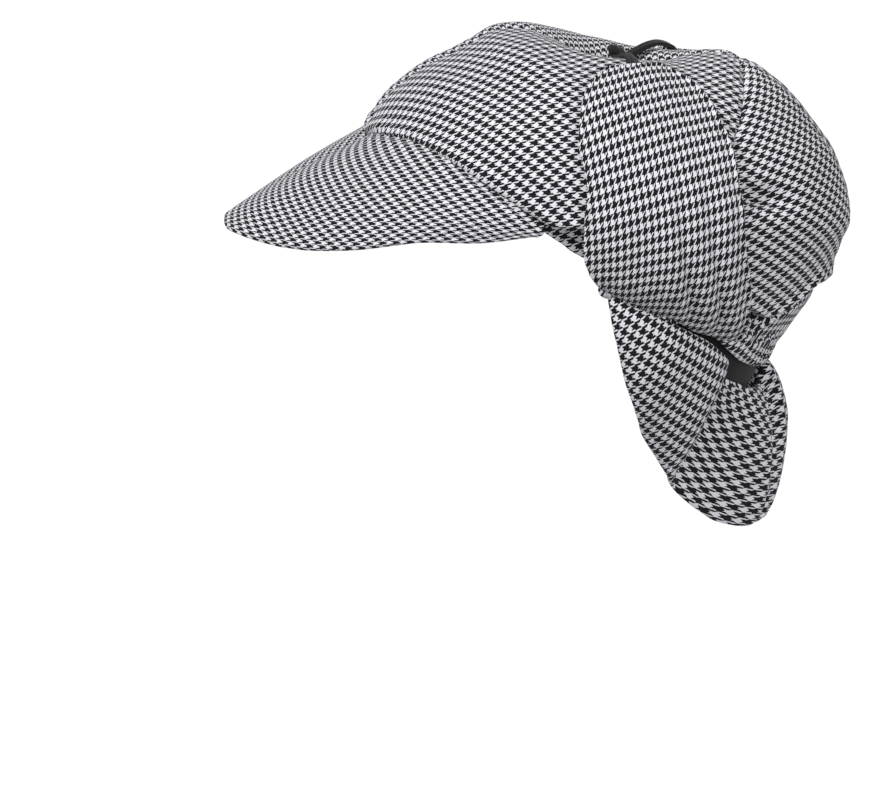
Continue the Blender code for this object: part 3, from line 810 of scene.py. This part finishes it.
def rear_peak_shape(across, up):
    """The peak's outer face: from its rim (0) up to its upper edge (1), bowed outwards by half an
    oval, or inwards by a parabola where the crowning is below 0. Its ends are drawn in by a high
    power of the share."""
    side = np.sign(across)
    back, inward, drop, crowning, edge = (
        smooth(across, REAR_SECTIONS, REAR_COLUMNS.index(name)) for name in REAR_COLUMNS[1:]
    )
    longitude = across * REAR_HALF_SPAN * (1 - REAR_DRAWN_IN * np.abs(across) ** 20)
    seat = REAR_SEAT + REAR_SWELL * ridge(across, 0, SWELL_SHARE, power=4)
    seam = set_in(at_height(longitude, 0 * longitude), PUFF_OVER - seat)
    lowest = np.minimum(rim_height(longitude), 0)
    under_fold = -(FLAP_FOLD + FLAP_WALL + GAP)
    seam[..., 2] = np.minimum(np.minimum(-SWEATBAND_DROP * edge, lowest - GAP), under_fold)
    reach = REAR_LENGTH * np.stack([back, -side * inward, -drop], -1)
    tip = np.stack([seam[..., 0], seam[..., 1], lowest], -1) + reach
    down = 1 - up[..., None]
    crowning = crowning[..., None]
    bow = np.maximum(0, 1 - (2 * down**BOW_POWER - 1) ** 2) ** np.where(crowning < 0, 1.0, 0.5)
    lift = REAR_CROWNING * crowning * bow
    return seam * (1 - down) + tip * down + toward(longitude, 0 * longitude) * lift


def rear_peak_relief(cut, edges):
    """Soft folds, a pressed line beside the rim, and a valley with puckers at the centre-back
    seam."""
    rim = np.minimum(edges[2], np.minimum(edges[0], edges[1]))
    middle = np.abs(edges[0] - edges[0][:, edges[0].shape[1] // 2, None])
    puckers = np.sin(2 * np.pi * (cut[..., 1] / REAR_PUCKER_SPACING))
    puckers = np.exp(-middle / PUCKER_REACH) * puckers
    soft = uneven(cut, REAR_SOFTNESS, REAR_SEED)
    return soft + REAR_PUCKER * puckers - line(middle, REAR_VALLEY) - line(rim, REAR_PRESSED)


piece, flat, area = sewn_panel(
    "rear_peak_cover", rear_peak_shape, spaced(-1, 1, 321, closeness=-0.3), spaced(0, 1, 97),
    PEAK_WALL, REAR_ROLL, rear_peak_relief, cloth, REAR_WEAVES,
    coarse=(17, 129))
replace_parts(piece, "rear_peak")

# The ear flaps: two layers of cloth, folded up from under the rim and tied over the crown. Their
# edges are turned and plump, and the cloth gathers where it is folded.
FLAP_LENGTH = 0.1207
FLAP_WIDTH = 0.0945
FLAP_LEAN = 23.0
FLAP_SLANT = 0.0290
FLAP_SLANT_PLACE = 0.39
FLAP_LONGITUDE = -70.0
FLAP_LATITUDE = 35.0
FLAP_PUFF = 0.0016
FLAP_AIR = 0.0020
FLAP_TURN = 0.09
GATHER_HEIGHT = 0.0019
RIGHT_FLAP_SHARE = 0.90
RIGHT_FLAP_SWAY = 0.0175
FLAP_PRESSED = (0.00080, 0.0030, 0.0009)
FLAP_CRUMPLE = (0.0004, 0.0008)
FLAP_CRUMPLE_REACH = 0.0220
FLAP_CRUMPLE_SIZE = 0.0110
FLAP_DRAWN_OUT = (1.0, 0.45)
FLAP_SOFTNESS = ((0.0005, 0.028),)
FLAP_CALM = 0.0080
FLAP_ROLL = 0.0018
FLAP_SEED = 90
MAP_RADIUS = 0.0998
FLAP_COLUMNS = ("up", "front", "rear")
FLAP_SECTIONS = (
    (0.00, 0.412, 0.515),
    (0.06, 0.482, 0.480),
    (0.18, 0.528, 0.370),
    (0.34, 0.518, 0.265),
    (0.50, 0.485, 0.243),
    (0.64, 0.490, 0.250),
    (0.78, 0.445, 0.243),
    (0.88, 0.386, 0.217),
    (0.95, 0.310, 0.160),
    (1.00, 0.200, 0.085),
)
# Each gather's place across the flap, its width, and its share of GATHER_HEIGHT.
FLAP_GATHERS = (
    (0.20, 0.075, 0.45),
    (0.52, 0.055, 0.90),
    (0.59, 0.018, -1.10),
    (0.69, 0.050, 1.00),
    (0.78, 0.018, -1.10),
    (0.88, 0.050, 0.90),
)


def flap_point(across, up):
    """The crown's face under a flap: distances to the front and to the tip become a heading and an
    angle about the flap's middle."""
    lean = math.radians(FLAP_LEAN)
    east = across * math.cos(lean) + up * math.sin(lean)
    north = up * math.cos(lean) - across * math.sin(lean)
    middle = toward(FLAP_LONGITUDE, FLAP_LATITUDE)
    northward = toward(FLAP_LONGITUDE, FLAP_LATITUDE + 90)
    eastward = np.cross(middle, northward)
    away = np.hypot(east, north)
    turn = (away / MAP_RADIUS)[..., None]
    heading = east[..., None] * eastward + north[..., None] * northward
    heading = heading / np.maximum(away, 1e-9)[..., None]
    return on_crown(np.cos(turn) * middle + np.sin(turn) * heading)


def flap_shape(length, side, sway):
    """A flap's outer face at shares of its width and its length: the crown's own face, blended at
    the bottom into the fold under the rim, and raised by the flap's thickness, air and gathers.
    Sway is how far its tip is drawn back."""

    def shape(across, up):
        share = across if side < 0 else 1 - across
        front = FLAP_WIDTH * smooth(up, FLAP_SECTIONS, FLAP_COLUMNS.index("front"))
        rear = FLAP_WIDTH * smooth(up, FLAP_SECTIONS, FLAP_COLUMNS.index("rear"))
        slant = FLAP_SLANT * (FLAP_SLANT_PLACE - share) * (1 - up) ** 2
        height = length * up - FLAP_LENGTH / 2 + slant
        grid = flap_point(front * (1 - share) - rear * share - sway * up**2, height)
        base = grid[:1]
        longitude = np.degrees(np.arctan2(base[..., 1], base[..., 0]))
        fold = set_in(at_height(longitude, -FLAP_FOLD), PUFF_OVER)
        rise = np.clip(up / FLAP_TURN, 0, 1)
        grid = fold * (1 - rise)[..., None] + grid * rise[..., None]
        puff = FLAP_PUFF * np.sin(np.pi * share) * np.sin(np.pi * up)
        gathers = sum(high * ridge(share, place, wide) for place, wide, high in FLAP_GATHERS)
        puff = puff + GATHER_HEIGHT * gathers * (1 - up) ** 2 * rise
        lift = FLAP_WALL + 2 * GAP * (1 - rise) + FLAP_AIR * rise + puff
        grid = grid * (1, side * -1, 1)
        laid = grid + outward(grid) * lift[..., None]
        laid[:1, :, 2] = -FLAP_FOLD
        return laid

    return shape


def flap_relief(seed):
    """A line pressed inside the turned edges, which leaves them plump, and soft crumples that
    grow towards the fold."""

    def relief(cut, edges):
        left, right, lower, upper = edges
        side = np.minimum(np.minimum(left, right), upper)
        near_fold = np.exp(-lower / FLAP_CRUMPLE_REACH)
        high = FLAP_CRUMPLE[0] + FLAP_CRUMPLE[1] * near_fold
        soft = high * crumple(cut * FLAP_DRAWN_OUT, FLAP_CRUMPLE_SIZE, seed)
        soft = soft + uneven(cut, FLAP_SOFTNESS, seed + 1)
        return soft * np.clip(side / FLAP_CALM, 0, 1) - line(side, FLAP_PRESSED)

    return relief


FLAP_WEAVE = ((0, (1, 0.00315), (105, 0.00525)),)
FLAPS = (
    ("left_ear_flap", "ear_flap_left", "crown_front_left", FLAP_LENGTH, -1, 0.0),
    ("right_ear_flap", "ear_flap_right", "crown_front_right", FLAP_LENGTH * RIGHT_FLAP_SHARE, 1,
     RIGHT_FLAP_SWAY),
)
for seed, (name, node, below, length, side, sway) in enumerate(FLAPS):
    piece, flat, area = sewn_panel(
        name, flap_shape(length, side, sway), spaced(0, 1, 129), spaced(0, 1, 145), FLAP_WALL,
        FLAP_ROLL, flap_relief(FLAP_SEED + 10 * seed), cloth, FLAP_WEAVE,
        coarse=(49, 33))
    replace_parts(piece, node)

# The ribbons: matt black ribbon from each flap's tip, bunched and pulled into a knot in the
# groove that they press into the crown.
RIBBON_WIDTH = 0.0060
RIBBON_THICKNESS = 0.0024
RIBBON_AIR = 0.0003
RIBBON_BOW = 0.0045
RIBBON_TAPER = 0.25
RIBBON_FOLDS = (0.10, 0.06)
RIBBON_RINGS = 61
RIBBON_UNDER = 0.03
RIBBON_SHORT = 0.0030
TUBE_SIDES = 40
KNOT_LONGITUDE = 180.0
KNOT_LATITUDE = 77.6
KNOT_SIZE = (0.0080, 0.0110, 0.0056)
KNOT_LIFT = 0.0066
KNOT_RIDGES = (0.07, 0.04)
KNOT_RINGS = 49
KNOT_END = 0.02

ribbon_black = black_twill("black_ribbon", threads_a_millimetre=1.7,
                           colour=(0.0080, 0.0080, 0.0090), roughness=0.6, across=True)


def tube_piece(name, rings, lengths, finish):
    """A closed tube of rings of points, its ends drawn together, with the pattern's coordinates
    round and along it in millimetres."""
    count, sides = rings.shape[:2]
    middles = rings[[0, -1]].mean(1)
    points = np.concatenate([rings.reshape(-1, 3), middles])
    index = np.arange(count * sides).reshape(count, sides)
    turned = np.roll(index, -1, axis=1)
    faces = np.stack([index[:-1], index[1:], turned[1:], turned[:-1]], -1).reshape(-1, 4)
    around = np.broadcast_to(np.arange(sides + 1) / sides * 2000 * RIBBON_WIDTH, (count, sides + 1))
    along = np.broadcast_to(1000 * lengths[:, None], (count, sides + 1))
    place = np.stack([around, along], -1)
    pattern = np.stack([place[:-1, :-1], place[1:, :-1], place[1:, 1:], place[:-1, 1:]], 2)
    first, last = np.full(sides, count * sides), np.full(sides, count * sides + 1)
    ends = np.concatenate([
        np.stack([index[0], turned[0], first], -1), np.stack([turned[-1], index[-1], last], -1)
    ])
    pattern = np.concatenate([pattern.reshape(-1, 2), np.zeros((ends.size, 2))])
    return mesh_piece(name, points, faces.tolist() + ends.tolist(), pattern, finish)


def ribbon_rings(tip, knot_place, bow, seed):
    """A ribbon's rings: ovals with lengthwise folds, along a path from under the flap's tip to
    just before the knot's middle. It is bowed backwards on the crown by a sine, and raised to the
    knot by the third power of the share."""
    share = np.linspace(0.0, 1.0, RIBBON_RINGS)[:, None]
    length = np.linalg.norm(tip - knot_place)
    share = -RIBBON_UNDER + share * (1 + RIBBON_UNDER - RIBBON_SHORT / length)
    bowed = tip * (1 - share) + knot_place * share
    bowed = bowed + bow * np.sin(np.pi * np.clip(share, 0, 1)) * np.array([1.0, 0.0, 0.0])
    path = on_crown(unit(bowed))
    raised = KNOT_LIFT * np.clip(share, 0, 1) ** 3
    path = path + unit(path) * (RIBBON_THICKNESS / 2 + RIBBON_AIR + raised)
    ahead = unit(np.gradient(path, axis=0))
    aside = unit(np.cross(ahead, unit(path)))
    up = np.cross(aside, ahead)
    turn = np.linspace(0, 2 * np.pi, TUBE_SIDES, endpoint=False)[None]
    folds = 1 + RIBBON_FOLDS[0] * np.sin(5 * turn + 3 * share + seed)
    folds = folds + RIBBON_FOLDS[1] * np.sin(9 * turn - 5 * share)
    width = RIBBON_WIDTH / 2 * (1 - RIBBON_TAPER * np.clip(share, 0, 1))
    across = (folds * width * np.cos(turn))[..., None] * aside[:, None]
    high = (folds * RIBBON_THICKNESS / 2 * np.sin(turn))[..., None] * up[:, None]
    distance = np.cumsum(np.pad(np.linalg.norm(np.diff(path, axis=0), axis=-1), (1, 0)))
    return worn(path[:, None] + across + high), distance


crossing = on_crown(toward(KNOT_LONGITUDE, KNOT_LATITUDE))
for seed, (name, node, length, side, sway, bow) in enumerate((
    ("left_ribbon", "ribbon_left", FLAP_LENGTH, -1, 0.0, 0.0),
    ("right_ribbon", "ribbon_right", FLAP_LENGTH * RIGHT_FLAP_SHARE, 1, RIGHT_FLAP_SWAY, RIBBON_BOW),
)):
    # A few points round the flap's tip, as its face is raised along the normals between them.
    top = flap_shape(length, side, sway)(np.array([[0.45, 0.5, 0.55]]), np.array([[0.97], [1.0]]))
    tip = top[1, 1]
    rings, distance = ribbon_rings(tip, crossing, bow, seed)
    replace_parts(tube_piece(name, rings, distance, ribbon_black), node)


def knot_rings():
    """The knot: an oval lump whose ribbon winds round it, in slanting ridges with a pinched waist."""
    polar = np.linspace(KNOT_END, np.pi - KNOT_END, KNOT_RINGS)[:, None]
    turn = np.linspace(0, 2 * np.pi, TUBE_SIDES, endpoint=False)[None]
    ridges = 1 + KNOT_RIDGES[0] * np.sin(3 * turn + 4 * polar)
    ridges = ridges + KNOT_RIDGES[1] * np.cos(6 * polar + turn)
    size = np.array(KNOT_SIZE) / 2
    lump = np.stack([np.cos(polar) + 0 * turn, np.sin(polar) * np.cos(turn),
                     np.sin(polar) * np.sin(turn)], -1) * size * ridges[..., None]
    middle = crossing + unit(crossing) * (KNOT_SIZE[2] / 2 + KNOT_LIFT)
    return worn(middle + lump), np.linspace(0, KNOT_SIZE[0], KNOT_RINGS)


rings, distance = knot_rings()
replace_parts(tube_piece("ribbon_tie", rings, distance, ribbon_black), "ribbon_knot")

# The studio: a plain pale floor well below the hat, soft light from above, and a long lens level
# with the hat's left side, ten degrees above it.
FLOOR_DEPTH = 0.34
FLOOR_HALF = 30.0
PIXELS_PER_METRE = 2172.0
PHOTO_WIDTH = 880
ORIGIN_PIXEL = (570, 238)
MIDDLE_PIXEL = (440, 400)
CAMERA_ELEVATION = 10.0
CAMERA_DISTANCE = 8.0
SENSOR = 36.0
FLOOR_COLOUR = (0.95, 0.95, 0.95, 1)
FLOOR_ROUGHNESS = 0.9
SKY_COLOUR = (1.0, 1.0, 1.0, 1.0)
SKY_STRENGTH = 0.38

floor_mesh = bpy.data.meshes.new("floor")
corners = [(-1, -1), (1, -1), (1, 1), (-1, 1)]
floor_mesh.from_pydata([(x * FLOOR_HALF, y * FLOOR_HALF, -FLOOR_DEPTH) for x, y in corners], [],
                       [(0, 1, 2, 3)])
floor = bpy.data.objects.new("floor", floor_mesh)
bpy.context.scene.collection.objects.link(floor)
pale = bpy.data.materials.new("pale_floor")
pale.use_nodes = True
pale.node_tree.nodes["Principled BSDF"].inputs["Base Color"].default_value = FLOOR_COLOUR
pale.node_tree.nodes["Principled BSDF"].inputs["Roughness"].default_value = FLOOR_ROUGHNESS
floor_mesh.materials.append(pale)
floor.visible_diffuse = False

world = bpy.data.worlds.new("studio")
world.use_nodes = True
world.node_tree.nodes["Background"].inputs["Color"].default_value = SKY_COLOUR
world.node_tree.nodes["Background"].inputs["Strength"].default_value = SKY_STRENGTH
bpy.context.scene.world = world
bpy.context.scene.view_settings.view_transform = "Standard"

LIGHTS = (
    ("key", (-0.95, -0.76, 1.10), 18.0, 2.4),
    ("top", (0.30, 0.30, 1.00), 50.0, 0.4),
    ("right", (0.75, -0.65, 0.12), 40.0, 1.45),
    ("front", (-0.10, -0.98, 0.15), 60.0, 0.75),
)
for name, place, softness, power in LIGHTS:
    light = bpy.data.lights.new(name, "SUN")
    light.angle = math.radians(softness)
    light.energy = power
    lamp = bpy.data.objects.new(name, light)
    lamp.location = place
    lamp.rotation_euler = (-Vector(place)).to_track_quat("-Z", "Y").to_euler()
    bpy.context.scene.collection.objects.link(lamp)

elevation = math.radians(CAMERA_ELEVATION)
up = Vector((0, math.sin(elevation), math.cos(elevation)))
aim = Vector(((MIDDLE_PIXEL[0] - ORIGIN_PIXEL[0]) / PIXELS_PER_METRE, 0, 0))
aim += up * ((ORIGIN_PIXEL[1] - MIDDLE_PIXEL[1]) / PIXELS_PER_METRE)
away = Vector((0, -math.cos(elevation), math.sin(elevation)))
camera = bpy.data.objects.new("camera", bpy.data.cameras.new("camera"))
camera.location = aim + away * CAMERA_DISTANCE
camera.rotation_euler = (-away).to_track_quat("-Z", "Y").to_euler()
camera.data.sensor_width = SENSOR
camera.data.lens = SENSOR * CAMERA_DISTANCE / (PHOTO_WIDTH / PIXELS_PER_METRE)
bpy.context.scene.collection.objects.link(camera)
bpy.context.scene.camera = camera
